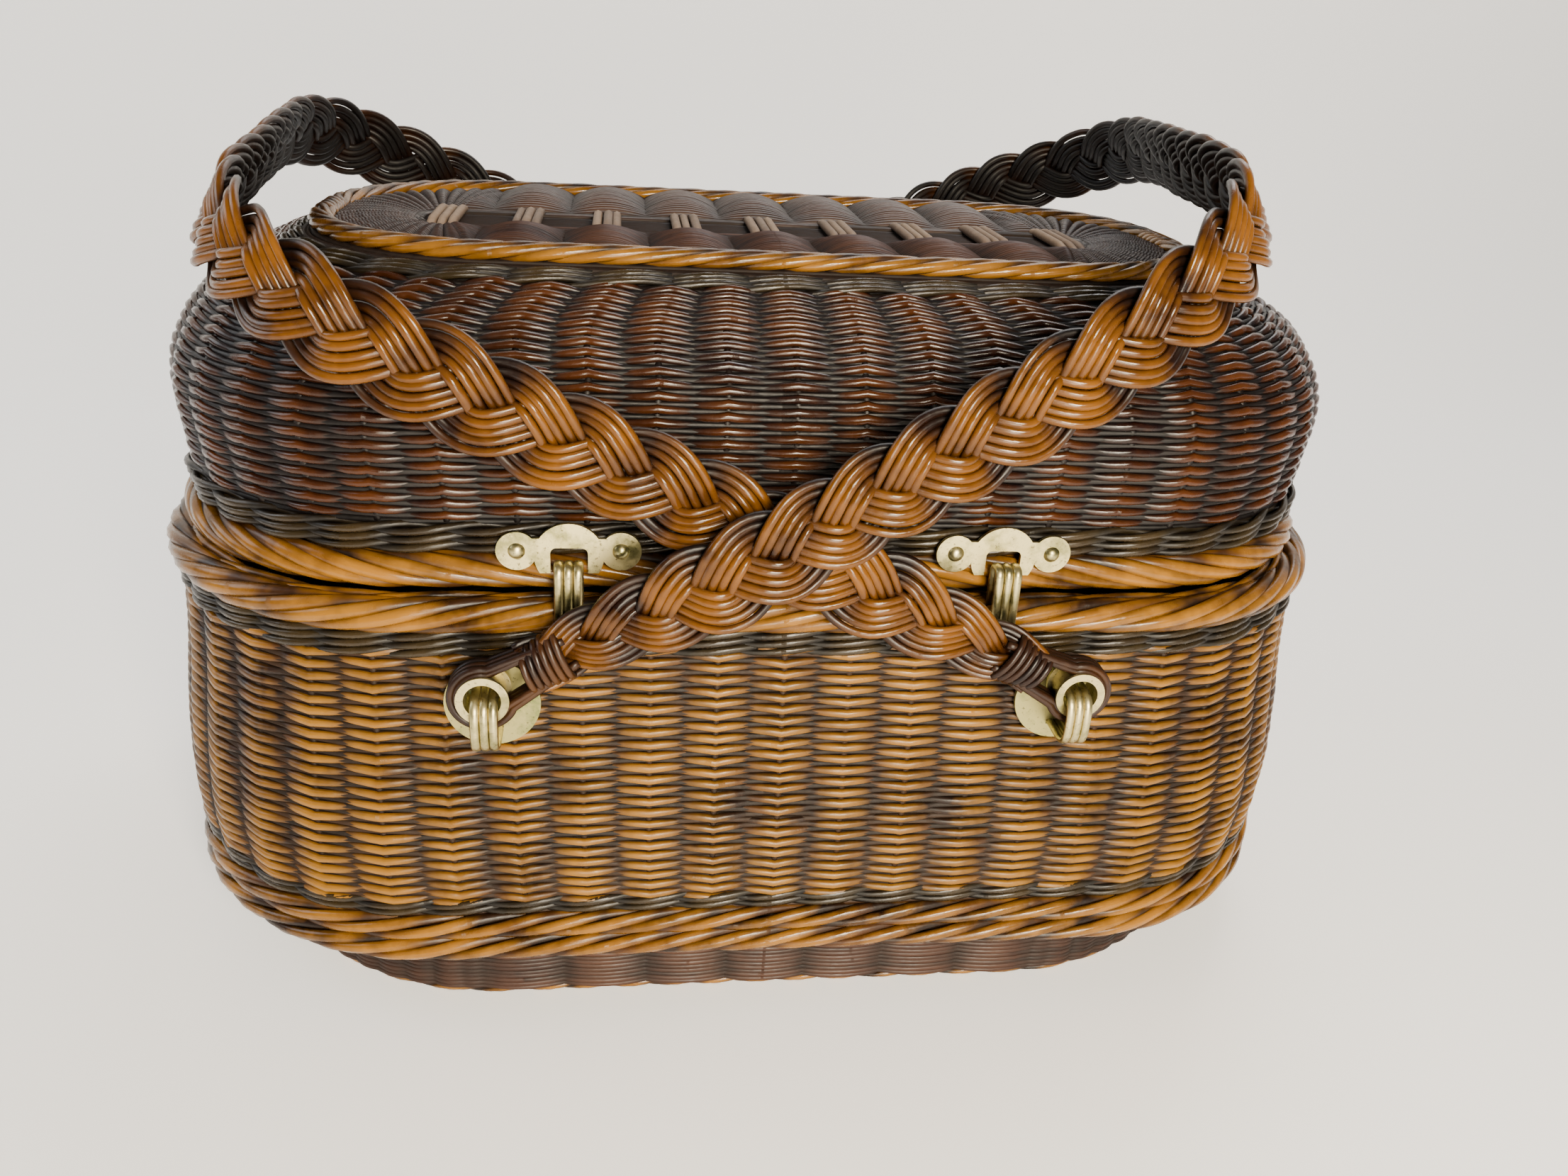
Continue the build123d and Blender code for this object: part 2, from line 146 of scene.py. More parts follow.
class Strands:
    """Many round canes in one mesh, each vertex with its grain coordinates and how far it stands out,
    which the cane materials turn into painted highlight and painted shade.
    """

    def __init__(self):
        self.verts, self.loops, self.sizes, self.grain, self.crest = [], [], [], [], []
        self.count = 0

    def tube(self, points, radius, up, closed=False, sides=6, flat=1.0, tint=None, crest=0.5):
        points = np.asarray(points, float)
        n = len(points)
        if closed:
            tangent = np.roll(points, -1, 0) - np.roll(points, 1, 0)
        else:
            tangent = np.gradient(points, axis=0)
        tangent /= np.linalg.norm(tangent, axis=1)[:, None] + 1e-9
        across = np.cross(tangent, np.broadcast_to(up, points.shape))
        across /= np.linalg.norm(across, axis=1)[:, None] + 1e-9
        rise = np.cross(across, tangent)
        angle = np.arange(sides) * 2 * math.pi / sides
        radius = np.broadcast_to(radius, n)
        ring = (
            across[:, None] * np.cos(angle)[None, :, None]
            + rise[:, None] * (flat * np.sin(angle))[None, :, None]
        )
        verts = points[:, None] + ring * radius[:, None, None]
        run = np.concatenate([[0], np.cumsum(np.linalg.norm(np.diff(points, axis=0), axis=1))])
        tint = rng.random() if tint is None else tint
        grain = np.zeros((n, sides, 3))
        grain[..., 0] = run[:, None]
        grain[..., 1] = np.broadcast_to(tint, n)[:, None]
        grain[..., 2] = angle[None] / (2 * math.pi)
        # The side of each cane towards up stands out more, so the painted highlight falls on it and the
        # painted shade on its far side.
        crest = np.broadcast_to(crest, n)[:, None] + 0.18 * np.sin(angle)[None]
        i = np.arange(n if closed else n - 1)[:, None]
        j = np.arange(sides)[None]
        a = i * sides + j
        b = i * sides + (j + 1) % sides
        c = (i + 1) % n * sides + (j + 1) % sides
        d = (i + 1) % n * sides + j
        quads = np.stack([a, b, c, d], -1).reshape(-1, 4) + self.count
        self.loops.append(quads.ravel())
        self.sizes.append(np.full(len(quads), 4))
        if not closed:
            ends = np.arange(sides)
            self.loops.append(ends[::-1] + self.count)
            self.loops.append(ends + self.count + (n - 1) * sides)
            self.sizes.append(np.array([sides, sides]))
        self.verts.append(verts.reshape(-1, 3))
        self.grain.append(grain.reshape(-1, 3))
        self.crest.append(crest.reshape(-1))
        self.count += n * sides

    def piece(self, name, material, body, nodes=()):
        mesh = bpy.data.meshes.new(name)
        verts = np.concatenate(self.verts) / MM
        loops = np.concatenate(self.loops)
        sizes = np.concatenate(self.sizes)
        mesh.vertices.add(len(verts))
        mesh.vertices.foreach_set("co", verts.ravel())
        mesh.loops.add(len(loops))
        mesh.loops.foreach_set("vertex_index", loops)
        mesh.polygons.add(len(sizes))
        mesh.polygons.foreach_set("loop_start", np.concatenate([[0], np.cumsum(sizes)[:-1]]))
        mesh.polygons.foreach_set("loop_total", sizes)
        mesh.polygons.foreach_set("use_smooth", np.ones(len(sizes), bool))
        mesh.update(calc_edges=True)
        grain = mesh.attributes.new("grain", "FLOAT_VECTOR", "POINT")
        grain.data.foreach_set("vector", np.concatenate(self.grain).ravel())
        crest = mesh.attributes.new("crest", "FLOAT", "POINT")
        crest.data.foreach_set("value", np.concatenate(self.crest))
        mesh.materials.append(material)
        obj = bpy.data.objects.new(name, mesh)
        bpy.context.collection.objects.link(obj)
        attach(obj, body)
        if nodes:
            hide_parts(*nodes)
        return obj


def smooth_noise(u, waves=9):
    """A gentle closed curve of mixed waves round the basket, about -1 to 1."""
    total = 0.0
    for _ in range(5):
        total = total + np.sin(2 * math.pi * (rng.integers(2, waves) * u + rng.random()))
    return total / 2.5


def stepped_tint(u, pieces):
    """Each weaver is several canes in turn, so its tint changes round the basket."""
    values = rng.random(pieces)
    return values[(np.mod(u + rng.random(), 1.0) * pieces).astype(int) % pieces]


def weave(strands, wall, rows, v0, v1, stakes, droop, depth=WEAVE_DEPTH, radius=CANE_R, inset=INSET):
    """Plain weave: each row passes in front of every second stake, and dips or rises there."""
    steps = np.array([-0.5, -0.31, -0.16, -0.06, 0.0, 0.06, 0.16, 0.31])
    place = (np.arange(stakes)[:, None] + steps[None]).ravel()
    u = place / stakes
    near = np.exp(-np.abs(np.tile(steps, stakes)) / 0.15)
    lean = 1 + 0.35 * np.repeat(rng.standard_normal(stakes), len(steps))
    for row in range(rows):
        wave = np.cos(math.pi * place) * (1 if row % 2 else -1)
        level = v0 + (v1 - v0) * (row + 0.5) / rows
        lift = -droop * near * np.maximum(wave, 0) * lean + 0.12 * smooth_noise(u)
        jitter = 0.10 * np.repeat(rng.standard_normal(stakes), len(steps))
        v = level + (lift + jitter * near) / wall.length
        out = -inset + depth * np.sign(wave) * np.abs(wave) ** 0.8
        points, normals = wall.at(u, v, out)
        size = radius * (0.84 + 0.24 * np.maximum(wave, 0)) * (1 + 0.05 * rng.standard_normal())
        tint = stepped_tint(u, 9)
        strands.tube(points, size, normals, True, 6, 0.92, tint, 0.5 + 0.45 * np.abs(wave))
    u = np.arange(240) / 240
    core = 0.70 * wall.length * (v1 - v0) / rows
    for row in range(-1, rows + 1):
        level = v0 + (v1 - v0) * (row + 0.5) / rows
        points, normals = wall.at(u, np.full(240, level), -inset)
        # The core rows get a low crest, so the painted shade makes them nearly black.
        strands.tube(points, core, normals, True, 4, 1.0, None, 0.30)


def stakes_of(strands, wall, v0, v1, stakes, radius=STAKE_R, inset=INSET):
    v = np.linspace(v0, v1, 16)
    for k in range(stakes):
        points, normals = wall.at(np.full(16, k / stakes), v, -inset)
        strands.tube(points, radius, normals, False, 6, 0.9, None, 0.35)


def rope(strands, centre, half_out, half_up, count, pitch, radius, steps=720, hand=1, flat=0.85):
    """Canes laid round a closed core. centre(u) gives points, outward normals and up directions."""
    u = np.arange(steps) / steps
    points, normals, ups = centre(u)
    length = np.linalg.norm(np.roll(points, -1, 0) - points, axis=1).sum()
    turns = round(length / pitch)
    for k in range(count):
        angle = 2 * math.pi * (k / count + hand * turns * u) + 0.12 * smooth_noise(u)
        out, up = np.cos(angle), np.sin(angle)
        path = points + normals * (half_out * out)[:, None] + ups * (half_up * up)[:, None]
        facing = normals * out[:, None] + ups * up[:, None]
        swell = radius * (1 + 0.04 * rng.standard_normal())
        strands.tube(path, swell, facing, True, 7, flat, stepped_tint(u, 11), 0.52 + 0.42 * np.abs(out))


def level_core(z, half_w, half_d, corner):
    """A closed core at one height on a plan outline."""

    def centre(u):
        flat, normal = plan(u, half_w, half_d, corner)
        points = np.stack([flat[:, 0], flat[:, 1], np.full(len(u), z)], -1)
        normals = np.stack([normal[:, 0], normal[:, 1], np.zeros(len(u))], -1)
        ups = np.tile([0.0, 0.0, 1.0], (len(u), 1))
        return points, normals, ups

    return centre


def wall_core(wall, v, out):
    def centre(u):
        points, normals = wall.at(u, np.full(len(u), v), out)
        along = np.roll(points, -1, 0) - np.roll(points, 1, 0)
        ups = np.cross(normals, along)
        ups /= np.linalg.norm(ups, axis=1)[:, None]
        ups *= np.sign(ups[:, 2])[:, None]
        return points, normals, ups

    return centre


# Materials


def nodes_of(name):
    material = bpy.data.materials.new(name)
    material.use_nodes = True
    tree = material.node_tree
    shader = tree.nodes["Principled BSDF"]
    return material, tree, shader


def mix(tree, kind, factor, a, b):
    node = tree.nodes.new("ShaderNodeMix")
    node.data_type = "RGBA"
    node.blend_type = kind
    for socket, value in ((node.inputs[0], factor), (node.inputs[6], a), (node.inputs[7], b)):
        if isinstance(value, (int, float)):
            socket.default_value = value
        elif isinstance(value, tuple):
            socket.default_value = (*value, 1.0)
        else:
            tree.links.new(value, socket)
    return node.outputs[2]


def ramp(tree, source, stops):
    node = tree.nodes.new("ShaderNodeValToRGB")
    elements = node.color_ramp.elements
    while len(elements) < len(stops):
        elements.new(0.5)
    for element, (place, colour) in zip(elements, stops):
        element.position = place
        element.color = (*colour, 1.0)
    tree.links.new(source, node.inputs[0])
    return node.outputs[0]


def noise(tree, vector, scale, detail=3.0, rough=0.55):
    node = tree.nodes.new("ShaderNodeTexNoise")
    node.inputs["Scale"].default_value = scale
    node.inputs["Detail"].default_value = detail
    node.inputs["Roughness"].default_value = rough
    tree.links.new(vector, node.inputs["Vector"])
    return node.outputs["Fac"]


def attribute(tree, name):
    node = tree.nodes.new("ShaderNodeAttribute")
    node.attribute_name = name
    return node


def math_node(tree, kind, a, b):
    node = tree.nodes.new("ShaderNodeMath")
    node.operation = kind
    node.use_clamp = True
    for socket, value in zip(node.inputs, (a, b)):
        if isinstance(value, (int, float)):
            socket.default_value = value
        else:
            tree.links.new(value, socket)
    return node.outputs[0]


def cane(name, deep, middle, light, gold, dust, rough=0.42, dusty=0.35):
    """Stained, varnished cane, with a tint for each strand and streaks along it.

    Where it stands out it is worn to gold, which is partly a painted highlight; where it lies deep it is
    dull, and darkened by painted shade with some grime.
    """
    material, tree, shader = nodes_of(name)
    grain = attribute(tree, "grain")
    crest = attribute(tree, "crest").outputs["Fac"]
    split = tree.nodes.new("ShaderNodeSeparateXYZ")
    tree.links.new(grain.outputs["Vector"], split.inputs[0])
    stretch = tree.nodes.new("ShaderNodeVectorMath")
    stretch.operation = "MULTIPLY"
    stretch.inputs[1].default_value = (0.09, 57.0, 5.0)
    tree.links.new(grain.outputs["Vector"], stretch.inputs[0])
    streak = noise(tree, stretch.outputs[0], 1.0, 4.0, 0.6)
    place = tree.nodes.new("ShaderNodeTexCoord")
    blotch = noise(tree, place.outputs["Object"], 34.0, 4.0, 0.65)
    fleck = noise(tree, place.outputs["Object"], 420.0, 2.0)
    tone = math_node(tree, "MULTIPLY", split.outputs[1], 0.52)
    tone = math_node(tree, "ADD", tone, math_node(tree, "MULTIPLY", streak, 0.62))
    colour = ramp(tree, tone, [(0.22, deep), (0.48, middle), (0.80, light)])
    # Gold where the cane stands out: partly worn varnish, partly a painted highlight.
    wear_and_highlight = math_node(tree, "MULTIPLY", crest, math_node(tree, "MULTIPLY", blotch, 1.6))
    wear_and_highlight = math_node(tree, "SUBTRACT", wear_and_highlight, 0.49)
    wear_and_highlight = math_node(tree, "MULTIPLY", wear_and_highlight, math_node(tree, "MULTIPLY", streak, 3.6))
    colour = mix(tree, "MIX", wear_and_highlight, colour, gold)
    # Painted shade, with some grime: the colour is darkened where the cane lies deep, almost to black at
    # the lowest crests.
    shade_and_grime = ramp(tree, crest, [
        (0.22, (0.05, 0.04, 0.03)), (0.54, (0.42, 0.38, 0.34)), (0.82, (1.0, 1.0, 1.0)),
    ])
    colour = mix(tree, "MULTIPLY", 1.0, colour, shade_and_grime)
    dirt = math_node(tree, "SUBTRACT", 1.0, crest)
    dirt = math_node(tree, "MULTIPLY", dirt, math_node(tree, "MULTIPLY", fleck, 2.0 * dusty))
    colour = mix(tree, "MIX", dirt, colour, dust)
    tree.links.new(colour, shader.inputs["Base Color"])
    dull = math_node(tree, "MULTIPLY", fleck, 0.30)
    dull = math_node(tree, "ADD", dull, rough + 0.28)
    dull = math_node(tree, "SUBTRACT", dull, math_node(tree, "MULTIPLY", crest, 0.48))
    tree.links.new(dull, shader.inputs["Roughness"])
    shader.inputs["Specular IOR Level"].default_value = 0.32
    bump = tree.nodes.new("ShaderNodeBump")
    bump.inputs["Strength"].default_value = 0.35
    bump.inputs["Distance"].default_value = 0.0004
    tree.links.new(streak, bump.inputs["Height"])
    tree.links.new(bump.outputs["Normal"], shader.inputs["Normal"])
    return material


def brass(name, base, tarnish, dark, rough=0.32):
    """Old brass: pale metal, greenish tarnish in patches, and dark specks."""
    material, tree, shader = nodes_of(name)
    place = tree.nodes.new("ShaderNodeTexCoord")
    patch = noise(tree, place.outputs["Object"], 95.0, 5.0, 0.65)
    speck = noise(tree, place.outputs["Object"], 900.0, 3.0)
    colour = ramp(tree, patch, [(0.36, tarnish), (0.52, base), (0.75, base)])
    colour = mix(tree, "MIX", ramp(tree, speck, [(0.60, (0, 0, 0)), (0.72, (0.8,) * 3)]), colour, dark)
    tree.links.new(colour, shader.inputs["Base Color"])
    shader.inputs["Metallic"].default_value = 1.0
    dull = math_node(tree, "MULTIPLY", patch, 0.5)
    dull = math_node(tree, "ADD", dull, rough - 0.2)
    tree.links.new(dull, shader.inputs["Roughness"])
    bump = tree.nodes.new("ShaderNodeBump")
    bump.inputs["Strength"].default_value = 0.2
    bump.inputs["Distance"].default_value = 0.0002
    tree.links.new(speck, bump.inputs["Height"])
    tree.links.new(bump.outputs["Normal"], shader.inputs["Normal"])
    return material


DUST = (0.024, 0.013, 0.005)
M_BODY = cane("cane_body", (0.004, 0.001, 0.001), (0.018, 0.006, 0.001), (0.060, 0.022, 0.003),
              (0.42, 0.190, 0.018), DUST)
# The lid's cane is a much darker copy of the body's cane; the darkening is painted shade over the whole
# lid.
M_LID = cane("cane_lid", (0.002, 0.001, 0.001), (0.005, 0.001, 0.001), (0.012, 0.004, 0.002),
             (0.090, 0.026, 0.004), (0.004, 0.002, 0.002), 0.30)
M_DARK = cane("cane_dark", (0.003, 0.002, 0.001), (0.007, 0.005, 0.003), (0.015, 0.011, 0.005),
              (0.045, 0.028, 0.010), (0.010, 0.007, 0.004), 0.34)
M_BORDER = cane("cane_border", (0.004, 0.001, 0.001), (0.018, 0.006, 0.001), (0.060, 0.021, 0.003),
                (0.46, 0.200, 0.020), DUST, 0.28)
M_PLAIT = cane("cane_plait", (0.003, 0.001, 0.001), (0.011, 0.003, 0.001), (0.034, 0.011, 0.002),
               (0.260, 0.096, 0.009), (0.006, 0.003, 0.001), 0.24, 0.25)
M_TOP = cane("cane_top", (0.006, 0.002, 0.001), (0.017, 0.006, 0.004), (0.036, 0.014, 0.008),
             (0.080, 0.032, 0.014), (0.024, 0.013, 0.008), 0.46, 0.7)
M_ROD = cane("cane_rods", (0.09, 0.050, 0.026), (0.22, 0.130, 0.070), (0.34, 0.22, 0.125),
             (0.44, 0.29, 0.17), (0.07, 0.045, 0.03), 0.55)
M_BRASS = brass("brass", (0.56, 0.48, 0.24), (0.26, 0.24, 0.10), (0.07, 0.06, 0.03))
M_GREEN = brass("brass_green", (0.38, 0.34, 0.14), (0.18, 0.20, 0.07), (0.06, 0.06, 0.03), 0.40)


# Body

BODY_WALL = Wall([
    (26, HALF_W + 1.5, HALF_D + 1.5, 93),
    (45, HALF_W + 4.5, HALF_D + 4.5, 93),
    (65, HALF_W + 5.5, HALF_D + 5.5, 92),
    (90, HALF_W + 3.5, HALF_D + 3.5, 89),
    (115, HALF_W + 0.5, HALF_D + 0.5, 86),
    (WALL_TOP, HALF_W - 1.5, HALF_D - 1.5, 84),
])


def share(wall, z):
    """The share v of a wall at height z."""
    return float(np.interp(z, wall.table[:, 0], wall.v))


def lining(strands, wall, z0, z1):
    """Plain rows inside the wall where twisted rows or borders cover it."""
    u = np.arange(240) / 240
    for z in np.arange(z0, z1, 1.9):
        points, normals = wall.at(u, np.full(240, share(wall, z)), -2.6)
        strands.tube(points, 1.3, normals, True, 4, 1.0, None, 0.45)


def build_body():
    strands = Strands()
    lining(strands, BODY_WALL, 27.5, 47)
    lining(strands, BODY_WALL, 136, 143.5)
    first, last = share(BODY_WALL, 46), share(BODY_WALL, 138)
    weave(strands, BODY_WALL, BODY_ROWS, first, last, STAKES, DROOP)
    strands.piece("body_weave", M_BODY, "body", ["body_wall"])
    strands = Strands()
    stakes_of(strands, BODY_WALL, 0.02, 0.99, STAKES)
    strands.piece("body_stakes", M_BODY, "body")
    strands = Strands()
    for z in (43.5, 46.3):
        rope(strands, wall_core(BODY_WALL, share(BODY_WALL, z), -1.9), 1.6, 0.9, 2, 42, 1.35)
    strands.piece("lower_dark_rows", M_DARK, "body")
    strands = Strands()
    for z in (137.0, 139.6, 142.2):
        rope(strands, wall_core(BODY_WALL, share(BODY_WALL, z), -1.5), 1.7, 0.9, 2, 42, 1.35)
    strands.piece("upper_dark_rows", M_DARK, "body", ["rim_wale"])
    strands = Strands()
    for z in (28.6, 37.2):
        rope(strands, level_core(z, HALF_W + 3.2, HALF_D + 3.2, 94), 2.4, 2.9, 4, 78, 2.0)
    strands.piece("base_wale_strands", M_BORDER, "body", ["base_wale"])
    strands = Strands()
    middle = (WALL_TOP + RIM_TOP) / 2
    rope(strands, level_core(middle, HALF_W - 2.6, HALF_D - 2.6, 84), 3.6, 3.7, 6, 105, 2.35)
    rope(strands, level_core(RIM_TOP - 2.6, HALF_W - 7.4, HALF_D - 7.4, 79), 1.2, 0.8, 2, 60, 1.7)
    strands.piece("rim_strands", M_BORDER, "body", ["rim_border"])


def humps(strands, z, half_w, half_d, corner, rise, radius, along_up, pitch=BUNDLE_PITCH):
    """One closed row of fine weave that humps over the rod bundles."""
    steps = 900
    u = np.arange(steps) / steps
    flat, normal = plan(u, half_w, half_d, corner)
    x, y = flat[:, 0], flat[:, 1]
    straight = (np.abs(normal[:, 1]) > 0.995).astype(float)
    wrapped = np.concatenate([straight[-9:], straight, straight[:9]])
    blend = np.convolve(wrapped, np.ones(19) / 19, "valid")
    hump = np.abs(np.cos(math.pi * x / pitch)) ** 0.8
    fan = np.abs(np.cos(math.pi * u * 4 * 27))
    lift = rise * (hump * blend + 0.45 * fan * (1 - blend)) + 0.08 * smooth_noise(u, 30)
    normals = np.stack([normal[:, 0], normal[:, 1], np.zeros(steps)], -1)
    ups = np.tile([0.0, 0.0, 1.0], (steps, 1))
    facing = ups if along_up else normals
    points = np.stack([x, y, np.full(steps, float(z))], -1) + facing * lift[:, None]
    crest = 0.35 + 0.5 * lift / max(rise, 0.1)
    strands.tube(points, radius, facing, True, 5, 1.0, stepped_tint(u, 7), crest)


def build_foot():
    strands = Strands()
    foot_w, foot_d = high("foot_ring")[0], high("foot_ring")[1]
    rows = 12
    for k in range(rows):
        z = 3.8 + (FOOT_TOP - 4.2) * k / (rows - 1)
        inset = 5.6 - 1.8 * k / rows
        humps(strands, z, foot_w - inset, foot_d - inset, 90 - inset, 2.0, 1.05, False)
    strands.piece("foot_weave", M_TOP, "body", ["foot_ring"])
    strands = Strands()
    rope(strands, level_core(1.9, foot_w - 6.6, foot_d - 6.6, 86), 1.2, 0.7, 2, 34, 1.2)
    strands.piece("foot_twist", M_BORDER, "body")


def oval_panel(strands, z, outer, inner, corner, rows, rise, top=True):
    """A flat panel woven in ovals between outer and inner (half_w, half_d)."""
    for k in range(rows):
        t = k / (rows - 1)
        half_w = outer[0] + (inner[0] - outer[0]) * t
        half_d = outer[1] + (inner[1] - outer[1]) * t
        radius = corner + (12 - corner) * t
        hump = rise * math.sin(math.pi * min(1.0, 0.18 + 0.9 * t)) ** 0.6 if top else 0.3
        humps(strands, z, half_w, half_d, radius, hump, 1.02, True)


def panel_core(strands, z, outer, inner, corner, pitch=1.7, radius=1.15):
    """Flat closed rows inside the weave of a panel, so that no light comes through it."""
    rows = math.ceil(max(outer[0] - inner[0], outer[1] - inner[1]) / pitch) + 1
    for t in np.linspace(0, 1, rows):
        half_w = outer[0] + (inner[0] - outer[0]) * t
        half_d = outer[1] + (inner[1] - outer[1]) * t
        turn_r = corner + (min(corner - 9, inner[1]) - corner) * t
        flat, _ = plan(np.arange(200) / 200, half_w, half_d, turn_r)
        points = np.stack([flat[:, 0], flat[:, 1], np.full(200, float(z))], -1)
        strands.tube(points, radius, (0, 0, 1), True, 4, 1.0, None, 0.35)


def middle_rows(strands, z, half_w, half_d, pitch=1.9):
    """Straight rows across the middle, under the rods."""
    for y in np.arange(-half_d, half_d + 0.1, pitch):
        x = np.linspace(-half_w, half_w, 120)
        points = np.stack([x, np.full(120, y), z - 0.25 * np.cos(2 * math.pi * x / BUNDLE_PITCH)], -1)
        strands.tube(points, 1.02, (0, 0, 1), False, 5, 1.0, None, 0.2)


def rod_bundles(strands, z, half_length, radius=1.7):
    """Bundles of three pale rods, front to back."""
    for i in range(BUNDLES):
        for j in (-1, 0, 1):
            x = (i - (BUNDLES - 1) / 2) * BUNDLE_PITCH + j * 2 * radius
            y = np.linspace(-half_length, half_length, 24)
            droop = 2.0 * np.clip((np.abs(y) - 15) / 8, 0, 1)
            points = np.stack([np.full(24, x) + 0.15 * rng.standard_normal(), y, z - droop], -1)
            size = radius * (1 + 0.05 * rng.standard_normal())
            strands.tube(points, size, (0, 0, 1), False, 8, 1.0, None, 0.5)


def build_base():
    strands = Strands()
    z = high("base_panel")[2] - 2.5
    oval_panel(strands, z, (HALF_W - 6, HALF_D - 6), (122, 24), 84, 52, 1.2)
    panel_core(strands, z - 0.6, (HALF_W - 1.5, HALF_D - 1.5), (122, 24), 88)
    middle_rows(strands, z - 1.0, 122, 25)
    strands.piece("base_weave", M_TOP, "body", ["base_panel"])
    strands = Strands()
    rod_bundles(strands, z + 1.9, 100)
    strands.piece("base_rod_bundles", M_ROD, "body", ["base_rods"])


# Lid

LID_WALL = Wall([
    (LID_BORDER_TOP, HALF_W - 9.0, HALF_D - 9.0, 80),
    (185, HALF_W - 6.5, HALF_D - 6.5, 82),
    (205, HALF_W - 5.5, HALF_D - 5.5, 82),
    (220, HALF_W - 10.0, HALF_D - 10.0, 80),
    (232, 180, 101, 70),
    (LID_WALL_TOP, 158, 76, 65),
])


def build_lid():
    strands = Strands()
    first, last = share(LID_WALL, 176.5), share(LID_WALL, 239.8)
    lining(strands, LID_WALL, LID_BORDER_TOP + 0.6, 177)
    weave(strands, LID_WALL, LID_ROWS, first, last, STAKES, -DROOP)
    strands.piece("lid_weave", M_LID, "lid", ["lid_wall"])
    strands = Strands()
    stakes_of(strands, LID_WALL, 0.01, 0.99, STAKES)
    strands.piece("lid_stakes", M_LID, "lid")
    strands = Strands()
    for z in (168.6, 171.4, 174.2):
        rope(strands, wall_core(LID_WALL, share(LID_WALL, z), -0.2), 1.9, 0.9, 2, 42, 1.4)
    strands.piece("lid_lower_dark_rows", M_DARK, "lid", ["lid_wale"])
    strands = Strands()
    for z in (239.9, 240.7, 241.5):
        rope(strands, wall_core(LID_WALL, share(LID_WALL, z), -1.2), 1.4, 0.9, 2, 42, 1.3)
    strands.piece("lid_upper_dark_rows", M_DARK, "lid")
    strands = Strands()
    middle = (LID_BOTTOM + LID_BORDER_TOP) / 2
    rope(strands, level_core(middle, HALF_W - 9.3, HALF_D - 9.3, 78), 3.4, 3.8, 6, 105, 2.35, hand=-1)
    strands.piece("lid_border_strands", M_BORDER, "lid", ["lid_bottom_border"])
    strands = Strands()
    middle = (LID_WALL_TOP + LID_TOP) / 2 - 0.2
    rope(strands, level_core(middle, TOP_W - 4.2, TOP_D - 4.2, 60), 2.9, 1.8, 5, 62, 1.75)
    strands.piece("lid_top_twist", M_BORDER, "lid", ["lid_top_border"])
    strands = Strands()
    z = LID_WALL_TOP + 1.6
    oval_panel(strands, z, (PANEL_W, PANEL_D), (121, 14), 55, 27, 5.6)
    panel_core(strands, z - 1.2, (PANEL_W + 7, PANEL_D + 7), (121, 12), 60)
    panel_core(strands, z - 2.2, (PANEL_W + 10.5, PANEL_D + 10.5), (PANEL_W, PANEL_D), 64)
    middle_rows(strands, z - 1.2, 121, 15.5)
    strands.piece("lid_top_weave", M_TOP, "lid", ["lid_top_panel"])
    strands = Strands()
    rod_bundles(strands, z + 1.6, 60)
    strands.piece("lid_rod_bundles", M_ROD, "lid", ["lid_top_rods"])


# Handles

PIVOT_X = 91.0
PIVOT_Z = 129.0
EYELET_Y = 138.0
GRIP_CORNER = 80.0
PLAIT_PERIOD = 60.0
PLAIT_SWAY = 8.6  # how far each strand moves across the plait
PLAIT_DEPTH = 2.1  # and through it


def handle_path(y_leg, reach, skew, step=1.5):
    """The plait's middle line in its own frame: from the front eyelet over the grip to the back one."""
    corner = Vector((2 * skew, 2 * y_leg)).normalized()
    front, back = Vector((reach - skew, -y_leg)), Vector((reach + skew, y_leg))
    points = [(0.0, -EYELET_Y), (30.0, -EYELET_Y), (80.0, -y_leg)]
    for tip, before, after in (
        (front, Vector((-1, 0)), corner), (back, -corner, Vector((-1, 0)))
    ):
        cut = GRIP_CORNER * math.tan((math.pi - before.angle(after)) / 2)
        start, end = tip + before * cut, tip + after * cut
        for t in np.linspace(0, 1, 20):
            points.append(tuple(start.lerp(tip, t).lerp(tip.lerp(end, t), t)))
    points += [(80.0, y_leg), (30.0, EYELET_Y), (0.0, EYELET_Y)]
    points = np.array(points)
    run = np.concatenate([[0], np.cumsum(np.linalg.norm(np.diff(points, axis=0), axis=1))])
    s = np.linspace(0, run[-1], int(run[-1] / step))
    path = np.stack([np.interp(s, run, points[:, k]) for k in range(2)], -1)
    kernel = np.hanning(15)
    kernel /= kernel.sum()
    for _ in range(2):
        padded = np.concatenate([path[:1].repeat(7, 0), path, path[-1:].repeat(7, 0)])
        padded[:7] -= (path[1] - path[0]) * np.arange(7, 0, -1)[:, None]
        padded[-7:] += (path[-1] - path[-2]) * np.arange(1, 8)[:, None]
        path = np.stack([np.convolve(padded[:, k], kernel, "valid") for k in range(2)], -1)
    return s, path


